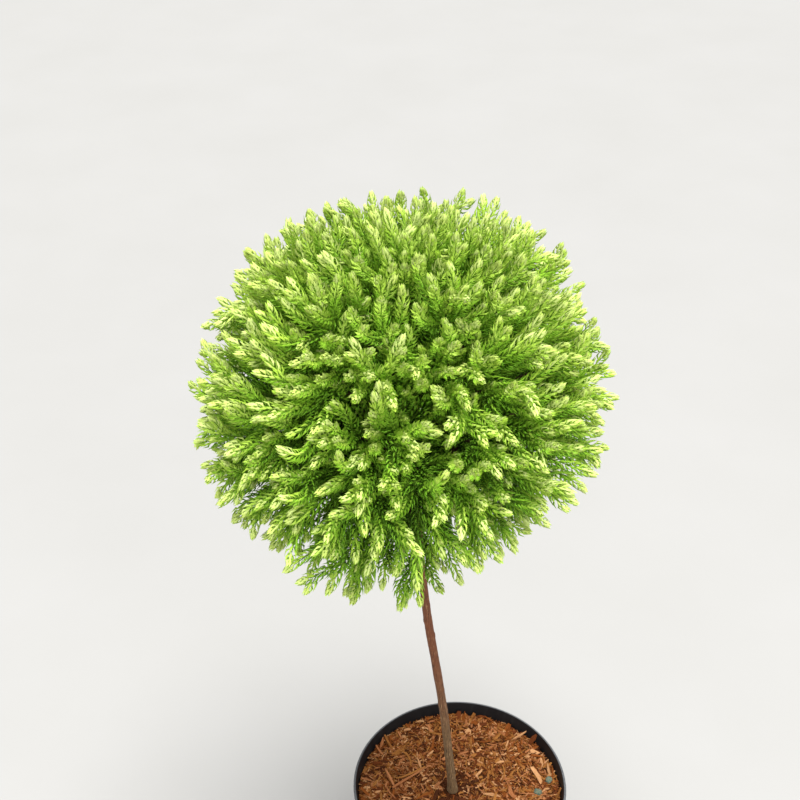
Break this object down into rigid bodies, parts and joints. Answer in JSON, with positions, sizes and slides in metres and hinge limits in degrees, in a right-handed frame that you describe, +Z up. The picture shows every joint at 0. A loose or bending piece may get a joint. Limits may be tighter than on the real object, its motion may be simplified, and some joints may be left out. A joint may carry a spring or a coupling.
{
  "type": "potted japanese cedar standard",
  "caption": "Dwarf japanese cedar grown as a globe of short green shoots on a slender clean stem, in a round black nursery pot topped with chopped bark.",
  "frame": {"origin": "centre of the pot's flat underside", "axes": "+Z up the plant; +X to the right and +Y away, as the picture's viewer sees it"},
  "size_m": [0.4285, 0.4434, 1.0377],
  "materials": {
    "pot": "satin",
    "bark_chips": "matte",
    "feed_tablet": "matte",
    "bark": "matte",
    "foliage": "matte"
  },
  "bodies": {
    "root": {"bough_lower_1": "bark", "bough_lower_2": "bark", "bough_lower_3": "bark", "bough_lower_4": "bark", "bough_lower_5": "bark", "bough_middle_1": "bark", "bough_middle_2": "bark", "bough_middle_3": "bark", "bough_middle_4": "bark", "bough_middle_5": "bark", "bough_middle_6": "bark", "bough_middle_7": "bark", "bough_top": "bark", "bough_upper_1": "bark", "bough_upper_2": "bark", "bough_upper_3": "bark", "bough_upper_4": "bark", "bough_upper_5": "bark", "compost": "bark_chips", "feed_tablet_1": "feed_tablet", "feed_tablet_2": "feed_tablet", "foliage_lower_1": "foliage", "foliage_lower_2": "foliage", "foliage_lower_3": "foliage", "foliage_lower_4": "foliage", "foliage_lower_5": "foliage", "foliage_middle_1": "foliage", "foliage_middle_2": "foliage", "foliage_middle_3": "foliage", "foliage_middle_4": "foliage", "foliage_middle_5": "foliage", "foliage_middle_6": "foliage", "foliage_middle_7": "foliage", "foliage_top": "foliage", "foliage_upper_1": "foliage", "foliage_upper_2": "foliage", "foliage_upper_3": "foliage", "foliage_upper_4": "foliage", "foliage_upper_5": "foliage", "pot": "pot", "stem": "bark"}
  },
  "joints": []
}
